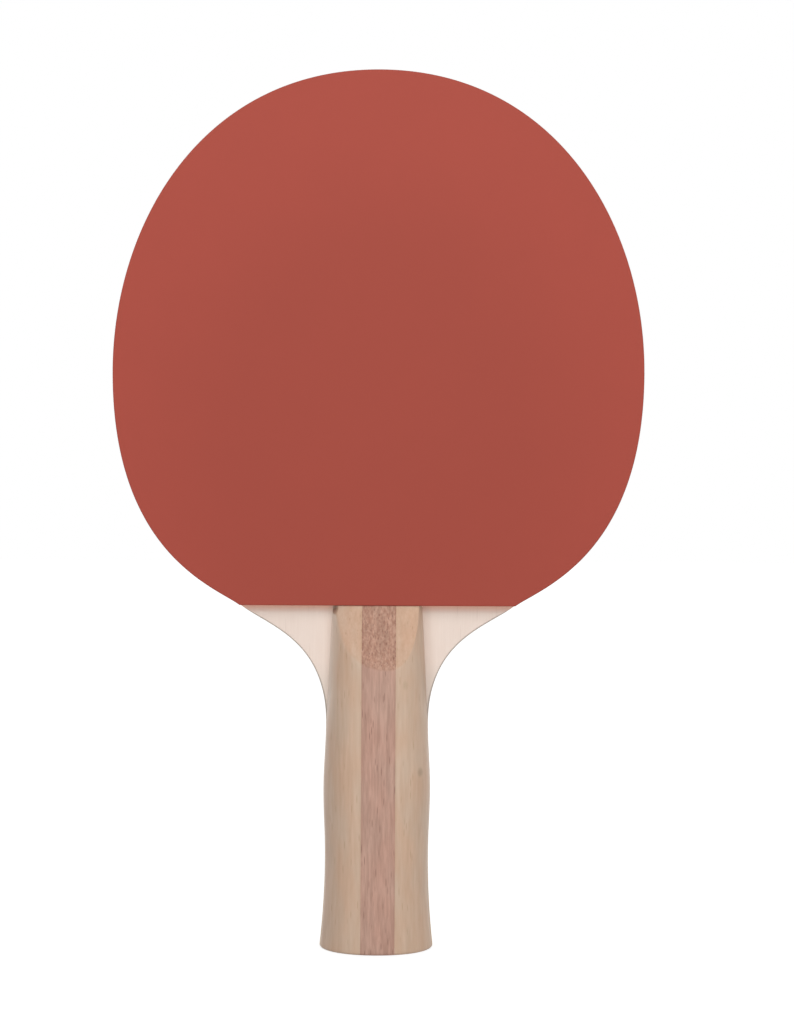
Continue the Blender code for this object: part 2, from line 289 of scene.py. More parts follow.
def sanding(height, depth):
    """How far the grip's oval draws a ply in at its depth, fading out evenly above the neck."""
    at = np.minimum(height, NECK_HEIGHT)
    drawn_in = grip_half_width(at) - oval(at, angle_at_depth(at, depth))[0]
    return drawn_in * np.clip(1 - (height - at) / SANDING_RUN_OUT, 0, None)


def ply_side():
    """Right side of the whole racket: the blade's curve, the grip's width below it, the butt's
    round."""
    blade = even_steps(blade_side(), PLY_STEP)
    grip = np.linspace(NECK_HEIGHT, BUTT_ROUNDING, round(NECK_HEIGHT / PLY_STEP))[1:]
    quarter = BUTT_ROUNDING * (1 - np.cos(np.linspace(np.pi / 2, 0, BUTT_RINGS)))[1:]
    heights = np.concatenate([grip, quarter])
    return np.concatenate([blade, np.column_stack([grip_half_width(heights), heights])])


PLY_SIDE = ply_side()


def ply_rim(depth, inset=0.0):
    """A ply's closed outline at one depth, moved inwards by the inset times the mitre of the runs
    beside each point: the sum of their unit normals over one plus the normals' product."""
    across, height = PLY_SIDE.T
    side = np.column_stack([across - sanding(height, depth), height])
    rim = np.concatenate([side, (side * (-1, 1))[:0:-1]])
    ahead = np.roll(rim, -1, axis=0) - rim
    normal = np.column_stack([-ahead[:, 1], ahead[:, 0]])
    normal /= np.linalg.norm(normal, axis=1)[:, None]
    before = np.roll(normal, 1, axis=0)
    mitre = (normal + before) / (1 + (normal * before).sum(axis=1))[:, None]
    return rim - mitre * np.broadcast_to(inset, len(rim))[:, None]


def covering_rim(step):
    """The blade's outline down to the straight cut, as even points clockwise from the crown."""
    side = blade_side()
    above = side[:, 1] > COVERING_CUT
    corner = np.interp(COVERING_CUT, side[::-1, 1], side[::-1, 0])
    right = even_steps(np.concatenate([side[above], [[corner, COVERING_CUT]]]), step)
    cut = even_steps(np.array([[corner, COVERING_CUT], [-corner, COVERING_CUT]]), step)
    return np.concatenate([right, cut[1:-1], (right * (-1, 1))[:0:-1]])


def way_in(rim):
    """Unit directions from the rim to the covering's middle, and their cosines with the edge's
    normal."""
    ahead = np.roll(rim, -1, axis=0) - np.roll(rim, 1, axis=0)
    normal = np.column_stack([-ahead[:, 1], ahead[:, 0]])
    normal /= np.linalg.norm(normal, axis=1)[:, None]
    inward = np.array([0.0, COVERING_MIDDLE]) - rim
    inward /= np.linalg.norm(inward, axis=1)[:, None]
    return inward, -(inward * normal).sum(axis=1)


def pimple_recess(rim, inward, radius):
    """Distance in from the rim to the first pimple: where the line inwards meets the nearest of a
    triangular lattice of circles, or nought where the rim cuts through a pimple. It is worked out
    for the few circles round each point of the rim."""
    x, z = rim.T[:, :, None, None]
    inward_x, inward_z = inward.T[:, :, None, None]
    row_pitch = PIMPLE_PITCH * math.sqrt(3) / 2
    near = np.arange(-PLACES_ROUND, PLACES_ROUND + 1)
    row = np.round(z / row_pitch) + near[:, None]
    shift = np.where(row % 2 == 0, 0.0, PIMPLE_PITCH / 2)
    column = np.round((x - shift) / PIMPLE_PITCH) + near
    to_x = column * PIMPLE_PITCH + shift - x
    to_z = row * row_pitch - z
    along = to_x * inward_x + to_z * inward_z
    apart = to_x**2 + to_z**2
    half_chord = radius**2 - (apart - along**2)
    entry = along - np.sqrt(np.clip(half_chord, 0, None))
    reach = np.where((half_chord > 0) & (entry > 0), entry, GAP_REACH)
    reach = np.where(apart < radius**2, 0.0, reach)
    return reach.min(axis=(1, 2)).clip(0, GAP_REACH)


# Meshes


def skin(name, rings):
    """A closed surface over a grid of points, ring by ring in millimetres: neighbours make quads
    along and across, and a flat face closes the first and the last ring."""
    rows, columns = rings.shape[:2]
    index = np.arange(rows * columns).reshape(rows, columns)
    beside = np.roll(index, -1, axis=1)
    quads = np.stack([index[:-1], beside[:-1], beside[1:], index[1:]], axis=-1).reshape(-1, 4)
    caps = [index[0, ::-1].tolist(), index[-1].tolist()]
    mesh = bpy.data.meshes.new(name)
    mesh.from_pydata((rings.reshape(-1, 3) * MM).tolist(), [], quads.tolist() + caps)
    bm = bmesh.new()
    bm.from_mesh(mesh)
    bmesh.ops.remove_doubles(bm, verts=bm.verts, dist=SAME_POINT)
    bmesh.ops.recalc_face_normals(bm, faces=bm.faces)
    bm.to_mesh(mesh)
    bm.free()
    mesh.shade_smooth()
    mesh.set_sharp_from_angle(angle=CRISP_TURN)
    piece = bpy.data.objects.new(name, mesh)
    bpy.context.scene.collection.objects.link(piece)
    return piece


def ring_at(outline, depth, side):
    """Points of an (x, z) outline at a depth, which is one number or one for each point."""
    depths = np.broadcast_to(depth, len(outline))
    return np.column_stack([outline[:, 0], side * depths, outline[:, 1]])


def stand_for(piece, node, slot, finishes):
    """Puts a piece in the place of its CAD node, with the finish of the node's slot."""
    piece.data.materials.append(finishes[slot])
    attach(piece, "root")
    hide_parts(node)


# Blade


def hollow_edge(inner, outer, side, count):
    """Rings from one depth to another. The edge dips in by a half sine, as softer wood sands."""
    rings = []
    for share in np.linspace(0, 1, count):
        depth = inner + (outer - inner) * share
        inset = PLY_HOLLOW * math.sin(math.pi * share)
        rings.append(ring_at(ply_rim(abs(depth), inset), depth, side))
    return np.stack(rings)


def rounded_edge(side):
    """Rings of a face ply, whose open throat edge ends in a quarter round of a radius that fades in
    and out along the edge: inset r(1 - cos a), depth r(1 - sin a) below the face."""
    height = ply_rim(BLADE_FACE)[:, 1]
    rise = np.clip((height - NECK_HEIGHT) / ROUNDING_FADE, 0, 1)
    fall = np.clip((GRIP_LENGTH - height) / ROUNDING_FADE, 0, 1)
    radius = THROAT_ROUNDING * np.minimum(rise, fall)
    rings = [ring_at(ply_rim(FACE_PLY_BACK), FACE_PLY_BACK, side)]
    for angle in np.linspace(0, np.pi / 2, PLY_RINGS):
        inset = radius * (1 - math.cos(angle))
        apart = RING_GAP * (1 - angle / (np.pi / 2))
        depth = BLADE_FACE - radius * (1 - math.sin(angle)) - apart
        rings.append(ring_at(ply_rim(BLADE_FACE, inset), depth, side))
    return np.stack(rings)


def make_blade(finishes):
    """The core ply, and a crossband and a face ply on each side of it."""
    core = skin("core_ply", hollow_edge(-CORE_FACE, CORE_FACE, BACK, CORE_RINGS))
    stand_for(core, "blade_core_ply", "core_wood", finishes)
    for side, face in ((FRONT, "front"), (BACK, "back")):
        rings = hollow_edge(CROSSBAND_BACK, CROSSBAND_FACE, side, PLY_RINGS)
        crossband = skin(f"{face}_crossband", rings)
        stand_for(crossband, f"{face}_crossband_ply", "crossband_wood", finishes)
        ply = skin(f"{face}_face_veneer", rounded_edge(side))
        stand_for(ply, f"{face}_face_ply", "face_veneer", finishes)


# Grip


def grip_heights():
    """Heights of the grip's rings: a quarter round at the butt, even steps, and closer ones over
    the ramp."""
    quarter = BUTT_ROUNDING * (1 - np.cos(np.linspace(0, np.pi / 2, BUTT_RINGS)))
    plain = np.linspace(BUTT_ROUNDING, RAMP_FOOT - EASED_RUN, GRIP_RINGS)[1:]
    ground = np.linspace(RAMP_FOOT - EASED_RUN, GRIP_LENGTH, RAMP_RINGS)[1:]
    return np.concatenate([quarter, plain, ground])[:, None]


def ground_depth(across, height, depth):
    """The lesser of the oval's depth and the ramp's, eased by a parabola where they are near each
    other: h of the one and 1 - h of the other, less the easing times h(1 - h)."""
    askew = DRUM_SKEW * np.clip((GRIP_LENGTH - height) / (GRIP_LENGTH - RAMP_FOOT), 0, 1)
    ramp = ramp_depth(height) - askew * across
    easing = np.maximum(EASED_EDGE - EASED_LESS * across, EASED_LEAST)
    share = np.clip(0.5 + (ramp - depth) / (2 * easing), 0, 1)
    return depth * share + ramp * (1 - share) - easing * share * (1 - share)


def side_strip_rings(height, hand):
    """A side strip, left (-1) or right (1): up the ground oval from its foot to the seam, down the
    seam and back along the foot."""
    seam = SEAM + hand * STRIP_SHIFT + GLUE_LINE
    foot_angle = angle_at_depth(height, GRIP_FOOT)
    seam_angle = angle_at_width(height, seam)
    share = np.linspace(0, 1, SIDE_POINTS)
    across, depth = oval(height, foot_angle + (seam_angle - foot_angle) * share)
    depth = np.maximum(ground_depth(hand * across, height, depth), GRIP_FOOT)
    share = np.linspace(0, 1, WALL_POINTS)[1:]
    wall_depth = depth[:, -1:] + (GRIP_FOOT - depth[:, -1:]) * share
    wall_across = np.full(wall_depth.shape, seam)
    foot_across = wall_across[:, :1] + (across[:, :1] - wall_across[:, :1]) * share[:-1]
    foot_depth = np.full(foot_across.shape, GRIP_FOOT)
    across = hand * np.hstack([across, wall_across, foot_across])
    depth = np.hstack([depth, wall_depth, foot_depth])
    return np.stack([across, depth, np.broadcast_to(height, across.shape)], axis=-1)


def centre_strip_rings(height):
    """Centre strip: over the ground oval from the right seam to the left in even steps, its depth
    D(1 - (x / W)^n)^(1/n), then down the left seam, along the foot and up the right seam."""
    even = np.linspace(STRIP_SHIFT + SEAM, STRIP_SHIFT - SEAM, CROWN_POINTS)
    across = np.broadcast_to(even, (len(height), CROWN_POINTS))
    power = oval_exponent(height)
    rounded = (1 - np.abs(across / grip_half_width(height)) ** power) ** (1 / power)
    depth = ground_depth(across, height, grip_half_depth(height) * rounded)
    share = np.linspace(0, 1, WALL_POINTS)[1:]
    left_wall = depth[:, -1:] + (GRIP_FOOT - depth[:, -1:]) * share
    right_wall = (depth[:, :1] + (GRIP_FOOT - depth[:, :1]) * share)[:, ::-1]
    left_across = np.full(left_wall.shape, STRIP_SHIFT - SEAM)
    right_across = np.full(right_wall.shape, STRIP_SHIFT + SEAM)
    foot_across = STRIP_SHIFT - SEAM * (1 - 2 * share[:-1]) + np.zeros_like(height)
    foot_depth = np.full(foot_across.shape, GRIP_FOOT)
    across = np.hstack([across, left_across, foot_across, right_across])
    depth = np.hstack([depth, left_wall, foot_depth, right_wall])
    return np.stack([across, depth, np.broadcast_to(height, across.shape)], axis=-1)


def chipped(rings):
    """Sinks the ground top of the front left strip round the missing splinter by its depth times
    e^(-d^3), where d is the distance in half widths and half lengths."""
    across, deep, height = np.moveaxis(rings, -1, 0)
    aside = (across - CHIP_ACROSS) / CHIP_HALF_WIDTH
    above = (height - CHIP_HEIGHT) / CHIP_HALF_LENGTH
    sunk = deep - CHIP_DEPTH * np.exp(-(np.hypot(aside, above) ** 3))
    least = GRIP_FOOT + CHIP_LEAVES * (deep - GRIP_FOOT)
    kept = np.where(deep > GRIP_FOOT, np.maximum(sunk, least), deep)
    return np.stack([across, kept, height], axis=-1)


def make_grip(finishes):
    """Three strips a side. The back ones are the mirror image of the front ones, unchipped."""
    height = grip_heights()
    for side, face in ((FRONT, "front"), (BACK, "back")):
        strips = {
            "left": side_strip_rings(height, -1),
            "centre": centre_strip_rings(height),
            "right": side_strip_rings(height, 1),
        }
        if side == FRONT:
            strips["left"] = chipped(strips["left"])
        for name, rings in strips.items():
            slot = "centre_grip_wood" if name == "centre" else "pale_grip_wood"
            strip = skin(f"{face}_grip_{name}", rings * (1, side, 1))
            stand_for(strip, f"{face}_grip_{name}_strip", slot, finishes)


# Coverings


def inset_ring(rim, inward, square, inset, depth, side):
    """The rim moved towards the covering's middle by the inset over the cosine, which leaves it
    the inset away from the edge."""
    return ring_at(rim + inward * (inset / square)[:, None], depth, side)


def sponge_rings(rim, inward, square, side):
    """The knife squeezes the foam, so its edge springs back hollow: the inset is a half sine."""
    rings = []
    for share in np.linspace(0, 1, SPONGE_RINGS):
        depth = SPONGE_BACK + (SPONGE_FACE - SPONGE_BACK) * share
        inset = SPONGE_INSET + SPONGE_HOLLOW * math.sin(math.pi * share)
        rings.append(inset_ring(rim, inward, square, inset, depth, side))
    return np.stack(rings)


def sheet_rings(rim, inward, square, side):
    """Underside, pimples with a fillet where they meet the sheet, cut edge, a quarter round, and
    the face. The round's inset is r(1 - cos a), and its depth r(1 - sin a) below the face."""
    rings = [inset_ring(rim, inward, square, EDGE_MARGIN, SHEET_BACK, side)]
    for share, radius in PIMPLE_RADII:
        recess = pimple_recess(rim, inward, radius)
        depth = SHEET_BACK + PIMPLE_HEIGHT * share
        rings.append(ring_at(rim + inward * recess[:, None], depth, side))
    rings.append(ring_at(rim, SHEET_BACK + PIMPLE_HEIGHT + ROOT_WALL, side))
    for angle in np.linspace(0, np.pi / 2, SHEET_ROUND_RINGS):
        inset = SHEET_ROUNDING * (1 - math.cos(angle))
        depth = SHEET_FACE - SHEET_ROUNDING * (1 - math.sin(angle))
        rings.append(inset_ring(rim, inward, square, inset, depth, side))
    rings.append(inset_ring(rim, inward, square, FACE_MARGIN, SHEET_FACE, side))
    return np.stack(rings)


def make_coverings(finishes):
    """A sponge and a top sheet on each side of the blade, red in front and black behind."""
    sponge_rim = covering_rim(SPONGE_STEP)
    sheet_rim = covering_rim(SHEET_STEP)
    for side, face, slot in ((FRONT, "front", "red_rubber"), (BACK, "back", "black_rubber")):
        rings = sponge_rings(sponge_rim, *way_in(sponge_rim), side)
        sponge = skin(f"{face}_sponge_layer", rings)
        stand_for(sponge, f"{face}_sponge", "sponge", finishes)
        sheet = skin(f"{face}_top_sheet", sheet_rings(sheet_rim, *way_in(sheet_rim), side))
        stand_for(sheet, f"{face}_rubber_sheet", slot, finishes)


# Finishes
#
# Three kinds of node take their inputs by number. A Map Range takes a value (0) from one range
# (1 to 2) to another (3 to 4, or from 0 to 1 where none is given). A colour Mix lays a share (0) of
# one colour (7) over another (6). A Math node works on 0, 1 and 2, in that order.

# Noise stays between these two nearly everywhere
NOISE_LOW = 0.3
NOISE_HIGH = 0.7

# Wood: noise of its broad bands and its fine streaks, the bands' weight beside the streaks', how
# far from their mean the palest and the darkest tone lie at a contrast of 1, the shares of a pore's
# radius between which it fades out, how far the roughness swings, and the relief
BAND_NOISE = {"Detail": 2.0, "Roughness": 0.5, "Distortion": 0.4}
STREAK_NOISE = {"Detail": 3.0, "Roughness": 0.6, "Distortion": 0.3}
BAND_WEIGHT = 0.6
TONE_SPREAD = 0.3
PORE_FLOOR = 0.6
PORE_RIM = 1.4
ROUGHNESS_SWING = 0.06
WOOD_RELIEF = {"Strength": 0.5, "Distance": 0.02 * MM}
WOOD_IOR = 1.5

# Fibres that sanding has raised on the grip catch a cool light at a slant
FUZZ_ROUGHNESS = 0.5
FUZZ_TINT = "#DCE8FF"

# What lies on one side of the racket only, or below the covering only, ends over this distance,
# where nothing that carries it can be seen
HIDDEN_CHANGE = 0.5

# Painted shade on the rounded throat edge, where it turns away from the light: grey that sets in
# between these depths below the face
EDGE_SHADE_START = 0.004
EDGE_SHADE_FULL = 0.07
EDGE_SHADE_TINT = "#D3D2D0"

# Painted shade below the front covering's cut, tinted red as by light bounced off the rubber, and
# how far below the cut it reaches
RED_SHADE_REACH = 2.6
RED_SHADE_TINT = "#ECC8BF"

# Painted shade in the corner along the grip, which is a straight line there: where it starts at the
# grip's top, how much farther out for each millimetre down, how far it lies to the right, and its
# reach.
# Painted shade lies low in the throat too, and this sets in between two heights.
CORNER = 12.9
CORNER_FLARE = 0.05
CORNER_SHIFT = 0.6
CORNER_REACH = 2.6
CORNER_SHADE_TINT = "#EFECEA"
LOW_SHADE_START = 81.0
LOW_SHADE_FULL = 75.0
LOW_SHADE_TINT = "#F5F8F8"

# Soft patches in the grip wood's tone, drawn out along the fibre
PATCH_SIZE = 5.0
PATCH_STRETCH = (1.0, 1.0, 0.35)
PATCH_NOISE = {"Detail": 2.0}
PATCH_RANGE = (0.35, 0.65)

# Torn end grain on the ramp, which is where the surface leans up by more than a share: the size of
# its pits, as large as they show in such wood, and their noise
GROUND_START = 0.07
GROUND_FULL = 0.22
PIT_SIZE = 0.56
PIT_STRETCH = (1.0, 1.0, 0.5)
PIT_NOISE = {"Detail": 1.5, "Roughness": 0.6}
PIT_RANGE = (0.36, 0.64)

# Glue drawn into the wood beside a seam
GLUE_REACH = 0.9
GLUE_SHARE = 0.17
GLUE_TINT = "#DCC9B8"

# The left strips darken towards the outside: partly the wood's own tone, partly painted shade where
# the oval turns from the light
OUTER_DARK_START = 4.5
OUTER_DARK_END = 12.5
TONE_AND_SHADE_TINT = "#ECEAEA"

# The front left strip is painted paler beside the blade, as painted light that a softer foot would
# catch: heights between which this fades in, the depth and the lean at which it ends, and its share
FOOT_LIGHT_START = 60.0
FOOT_LIGHT_FULL = 72.0
FOOT_LIGHT_DEPTH = 8.0
FOOT_LIGHT_LEAN = 0.16
FOOT_LIGHT_SHARE = 0.65
FOOT_LIGHT_TINT = "#FFF3E6"

# Marks in the grip's wood: place on the surface, reach across the fibre, strength and colour. They
# are painted shade in the chip, a mineral speck and a faint smear. A mark is even to a share of its
# reach.
MARK_STRETCH = (1.0, 0.25, 0.6)
MARK_EVEN = 0.15
MARKS = (
    # Painted shade in the chip, under the rubber's edge
    ((CHIP_ACROSS, -5.0, CHIP_HEIGHT), 1.5, 0.75, "#7A553F"),
    ((12.3, -7.5, 50.6), 1.1, 0.4, "#8A765C"),
    ((8.0, -10.6, 75.2), 1.2, 0.25, "#A08A66"),
)

# Rubber: a faint mottle and a fine grain, their noise, the grain's weight beside the mottle's, and
# how far the two make the colour swing. The real grain is under a tenth of a millimetre, and is
# drawn coarser so that it shows. The cut's darker colour, which on the round of the edge is painted
# shade, ends just below the face.
MOTTLE_SIZE = 18.0
MOTTLE_NOISE = {"Detail": 3.0, "Roughness": 0.5}
RUBBER_GRAIN = 0.35
RUBBER_NOISE = {"Detail": 2.0, "Roughness": 0.6}
GRAIN_WEIGHT = 0.3
LEVEL_SPREAD = 0.2
LEVEL_SWING = 0.01
CUT_END = 0.05
RUBBER_ROUGHNESS = (0.58, 0.66)
RUBBER_RELIEF = {"Strength": 0.3, "Distance": 0.01 * MM}
RUBBER_IOR = 1.52

# Painted light on the rubber, which grows away from a middle towards the top and the sides:
# distances from it, in a stretched space, between which the painted light sets in, and its share at
# most
RIM_LIGHT_STRETCH = (1.2, 0.0, 1.0)
RIM_LIGHT_MIDDLE = (0.0, 0.0, 145.0)
RIM_LIGHT_START = 45.0
RIM_LIGHT_FULL = 95.0
RIM_LIGHT_SHARE = 0.05

# Foam: the width of its cells, drawn a little coarser than real ones so that they show, the
# distances from a cell's middle between which its pit, painted darker as shade, ends, and its
# roughness from pit to wall
CELL_SIZE = 0.33
CELL_RANGE = (0.15, 0.5)
FOAM_ROUGHNESS = (0.95, 0.8)
FOAM_RELIEF = {"Strength": 0.8, "Distance": 0.12 * MM}


def linear(hex_colour):
    """The linear colour of an sRGB hex value, with full opacity."""
    channels = [int(hex_colour[start : start + 2], 16) / 255 for start in (1, 3, 5)]
    return (*[c / 12.92 if c <= 0.04045 else ((c + 0.055) / 1.055) ** 2.4 for c in channels], 1.0)


def feed(tree, node, inputs):
    """Sets a node's inputs to values, or links them to outputs. A node stands for its first output
    that is in use."""
    for name, value in inputs.items():
        if isinstance(value, bpy.types.Node):
            value = next(output for output in value.outputs if output.enabled)
        if isinstance(value, bpy.types.NodeSocket):
            tree.links.new(value, node.inputs[name])
        else:
            node.inputs[name].default_value = value


def add(tree, kind, inputs=None, **settings):
    """Adds a node with its settings, and feeds its inputs."""
    made = tree.nodes.new(kind)
    for name, value in settings.items():
        setattr(made, name, value)
    feed(tree, made, inputs or {})
    return made


def new_finish(name):
    """A material, its tree and its shader, and where each point is in millimetres."""
    material = bpy.data.materials.new(name)
    material.use_nodes = True
    tree = material.node_tree
    place = add(tree, "ShaderNodeTexCoord").outputs["Object"]
    millimetres = add(tree, "ShaderNodeMapping", {"Vector": place, "Scale": (1 / MM,) * 3})
    return material, tree, tree.nodes["Principled BSDF"], millimetres


def overlap(tree, ramps, share=1.0):
    """A share times every one of the ramps, each of which rises from 0 to 1 while its value goes
    from the first of its two bounds to the second."""
    for value, start, full in ramps:
        risen = add(tree, "ShaderNodeMapRange", {0: value, 1: start, 2: full})
        share = add(tree, "ShaderNodeMath", {0: risen, 1: share}, operation="MULTIPLY")
    return share


def wood(
    name,
    pale,
    dark,
    pore,
    fibre,
    band,
    streak,
    contrast,
    pore_spacing,
    pore_radius,
    roughness,
    wear_and_painted_light=None,
    fuzz=0.0,
):
    """Bare wood, sanded and not varnished, so it is matt and its pores stay open. The grain is
    solid: bands and streaks are noise, and pores are cells, in a space drawn out along the fibre,
    so a cut across the fibre shows end grain. The mean colour is midway from pale to dark."""
    material, tree, shader, millimetres = new_finish(name)
    grain = add(tree, "ShaderNodeMapping", {"Vector": millimetres, "Scale": fibre})
    broad = {"Vector": grain, "Scale": 1 / band, **BAND_NOISE}
    bands = add(tree, "ShaderNodeTexNoise", broad)
    fine = {"Vector": grain, "Scale": 1 / streak, **STREAK_NOISE}
    streaks = add(tree, "ShaderNodeTexNoise", fine)
    weighed = {0: bands, 1: BAND_WEIGHT, 2: streaks}
    figure = add(tree, "ShaderNodeMath", weighed, operation="MULTIPLY_ADD")
    mean = (BAND_WEIGHT + 1) / 2
    spread = TONE_SPREAD / contrast
    shade = add(tree, "ShaderNodeMapRange", {0: figure, 1: mean - spread, 2: mean + spread})
    tones = {0: shade, 6: linear(pale), 7: linear(dark)}
    toned = add(tree, "ShaderNodeMix", tones, data_type="RGBA")
    cells = add(tree, "ShaderNodeTexVoronoi", {"Vector": grain, "Scale": 1 / pore_spacing})
    radius = pore_radius / pore_spacing
    hole = {0: cells, 1: PORE_FLOOR * radius, 2: PORE_RIM * radius, 3: 1.0, 4: 0.0}
    pores = add(tree, "ShaderNodeMapRange", hole, interpolation_type="SMOOTHSTEP")
    pored = {0: pores, 6: toned, 7: linear(pore)}
    colour = add(tree, "ShaderNodeMix", pored, data_type="RGBA")
    if wear_and_painted_light:
        colour = wear_and_painted_light(tree, millimetres, colour)
    smoothest = roughness - ROUGHNESS_SWING
    roughest = roughness + ROUGHNESS_SWING
    swing = {0: streaks, 1: NOISE_LOW, 2: NOISE_HIGH, 3: smoothest, 4: roughest}
    sunk = add(tree, "ShaderNodeMath", {0: pores, 1: -1.0, 2: streaks}, operation="MULTIPLY_ADD")
    look = {
        "Base Color": colour,
        "Roughness": add(tree, "ShaderNodeMapRange", swing),
        "Normal": add(tree, "ShaderNodeBump", {"Height": sunk, **WOOD_RELIEF}),
        "IOR": WOOD_IOR,
        "Sheen Weight": fuzz,
        "Sheen Roughness": FUZZ_ROUGHNESS,
        "Sheen Tint": linear(FUZZ_TINT),
    }
    feed(tree, shader, look)
    return material


def veneer_painted_shade(tree, millimetres, colour):
    """Painted shade on a face ply, as tints that the wood's colour is multiplied by: grey on the
    rounded edge of the open throat, where it turns from the light, shade below the front covering's
    cut, tinted red as by light bounced off the rubber, and shade in the corner along the grip and
    low in the throat."""
    across, depth, height = add(tree, "ShaderNodeSeparateXYZ", {"Vector": millimetres}).outputs
    out = add(tree, "ShaderNodeMath", {0: depth}, operation="ABSOLUTE")
    uncovered = (height, COVERING_CUT + HIDDEN_CHANGE, COVERING_CUT)
    above_neck = (height, NECK_HEIGHT, NECK_HEIGHT + ROUNDING_FADE)
    # Painted shade: grey on the rounded throat edge, which turns away from the light
    rounded = (out, BLADE_FACE - EDGE_SHADE_START, BLADE_FACE - EDGE_SHADE_FULL)
    edge_shade = overlap(tree, [rounded, uncovered, above_neck])
    # Painted shade below the front covering's cut, tinted red as by light bounced off the rubber
    below_cut = {0: height, 1: COVERING_CUT - RED_SHADE_REACH, 2: COVERING_CUT}
    shade_fade = add(tree, "ShaderNodeMapRange", below_cut, interpolation_type="SMOOTHSTEP")
    in_front = (depth, HIDDEN_CHANGE, -HIDDEN_CHANGE)
    red_shade = overlap(tree, [uncovered, in_front], shade_fade)
    # Painted shade in the corner along the grip
    to_right = add(tree, "ShaderNodeMath", {0: across, 1: CORNER_SHIFT}, operation="SUBTRACT")
    beside = add(tree, "ShaderNodeMath", {0: to_right}, operation="ABSOLUTE")
    flare = {0: height, 1: CORNER_FLARE, 2: beside}
    upright = add(tree, "ShaderNodeMath", flare, operation="MULTIPLY_ADD")
    corner = CORNER + CORNER_FLARE * GRIP_LENGTH
    near = {0: upright, 1: corner, 2: corner + CORNER_REACH, 3: 1.0, 4: 0.0}
    corner_shade = add(tree, "ShaderNodeMapRange", near, interpolation_type="SMOOTHSTEP")
    # Painted shade low in the throat, beside the neck
    low = add(tree, "ShaderNodeMapRange", {0: height, 1: LOW_SHADE_START, 2: LOW_SHADE_FULL})
    for share, tint in (
        (edge_shade, EDGE_SHADE_TINT),
        (red_shade, RED_SHADE_TINT),
        (corner_shade, CORNER_SHADE_TINT),
        (low, LOW_SHADE_TINT),
    ):
        painted_tint = {0: share, 6: colour, 7: linear(tint)}
        colour = add(tree, "ShaderNodeMix", painted_tint, data_type="RGBA", blend_type="MULTIPLY")
    return colour


def strip_wear_and_painted_light(tree, millimetres, colour, flush, ground_tint, pit_tint):
    """What making and use have left on a grip strip, and painted light and shade. Its tone has soft
    patches. The drum tears the end grain on the ramp, which shows as another tint and a speckle of
    pits. Glue darkens the wood at the seams, and the left strips darken outwards, partly as painted
    shade. The front left one is painted paler beside the blade, as painted light, and there are a
    few marks, one of them painted shade in the chip."""
    across, depth, height = add(tree, "ShaderNodeSeparateXYZ", {"Vector": millimetres}).outputs
    normal = add(tree, "ShaderNodeTexCoord").outputs["Normal"]
    lean = add(tree, "ShaderNodeSeparateXYZ", {"Vector": normal}).outputs["Z"]
    drawn = add(tree, "ShaderNodeMapping", {"Vector": millimetres, "Scale": PATCH_STRETCH})
    patches = {"Vector": drawn, "Scale": 1 / PATCH_SIZE, **PATCH_NOISE}
    patchy = add(tree, "ShaderNodeTexNoise", patches)
    patched = overlap(tree, [(patchy, *PATCH_RANGE)])
    leaning = {0: lean, 1: GROUND_START, 2: GROUND_FULL}
    ground = add(tree, "ShaderNodeMapRange", leaning, interpolation_type="SMOOTHSTEP")
    torn = add(tree, "ShaderNodeMapping", {"Vector": millimetres, "Scale": PIT_STRETCH})
    pits = {"Vector": torn, "Scale": 1 / PIT_SIZE, **PIT_NOISE}
    ragged = add(tree, "ShaderNodeTexNoise", pits)
    pitted = overlap(tree, [(ragged, *PIT_RANGE)], ground)
    to_right = add(tree, "ShaderNodeMath", {0: across, 1: STRIP_SHIFT}, operation="SUBTRACT")
    beside = add(tree, "ShaderNodeMath", {0: to_right}, operation="ABSOLUTE")
    past_seam = add(tree, "ShaderNodeMath", {0: beside, 1: SEAM}, operation="SUBTRACT")
    near = add(tree, "ShaderNodeMath", {0: past_seam}, operation="ABSOLUTE")
    stain = {0: near, 1: 0.0, 2: GLUE_REACH, 3: GLUE_SHARE, 4: 0.0}
    glued = add(tree, "ShaderNodeMapRange", stain, interpolation_type="SMOOTHSTEP")
    # Darker towards the outside of the left strips: the wood's own tone and painted shade
    tone_and_shade = add(tree, "ShaderNodeMapRange", {0: across, 1: -OUTER_DARK_START, 2: -OUTER_DARK_END})
    # Painted light: the front left strip is paler beside the blade, as a softer foot would be lit
    front_left = [
        (depth, -FOOT_LIGHT_DEPTH, -GRIP_FOOT),
        (depth, HIDDEN_CHANGE, -HIDDEN_CHANGE),
        (across, HIDDEN_CHANGE, -HIDDEN_CHANGE),
        (height, FOOT_LIGHT_START, FOOT_LIGHT_FULL),
        (lean, FOOT_LIGHT_LEAN, GROUND_START),
    ]
    foot_light = overlap(tree, front_left, FOOT_LIGHT_SHARE)
    layers = [
        (patched, flush, "MULTIPLY"),
        (ground, ground_tint, "MULTIPLY"),
        (pitted, pit_tint, "MULTIPLY"),
        (glued, GLUE_TINT, "MULTIPLY"),
        (tone_and_shade, TONE_AND_SHADE_TINT, "MULTIPLY"),
        (foot_light, FOOT_LIGHT_TINT, "MIX"),
    ]
    squeezed = add(tree, "ShaderNodeMapping", {"Vector": millimetres, "Scale": MARK_STRETCH})
    for spot, reach, strength, tint in MARKS:
        middle = [at * by for at, by in zip(spot, MARK_STRETCH)]
        away = add(tree, "ShaderNodeVectorMath", {0: squeezed, 1: middle}, operation="DISTANCE")
        fading = {0: away, 1: MARK_EVEN * reach, 2: reach, 3: strength, 4: 0.0}
        marked = add(tree, "ShaderNodeMapRange", fading, interpolation_type="SMOOTHSTEP")
        layers.append((marked, tint, "MIX"))
    for share, tint, blend in layers:
        layered = {0: share, 6: colour, 7: linear(tint)}
        colour = add(tree, "ShaderNodeMix", layered, data_type="RGBA", blend_type=blend)
    return colour


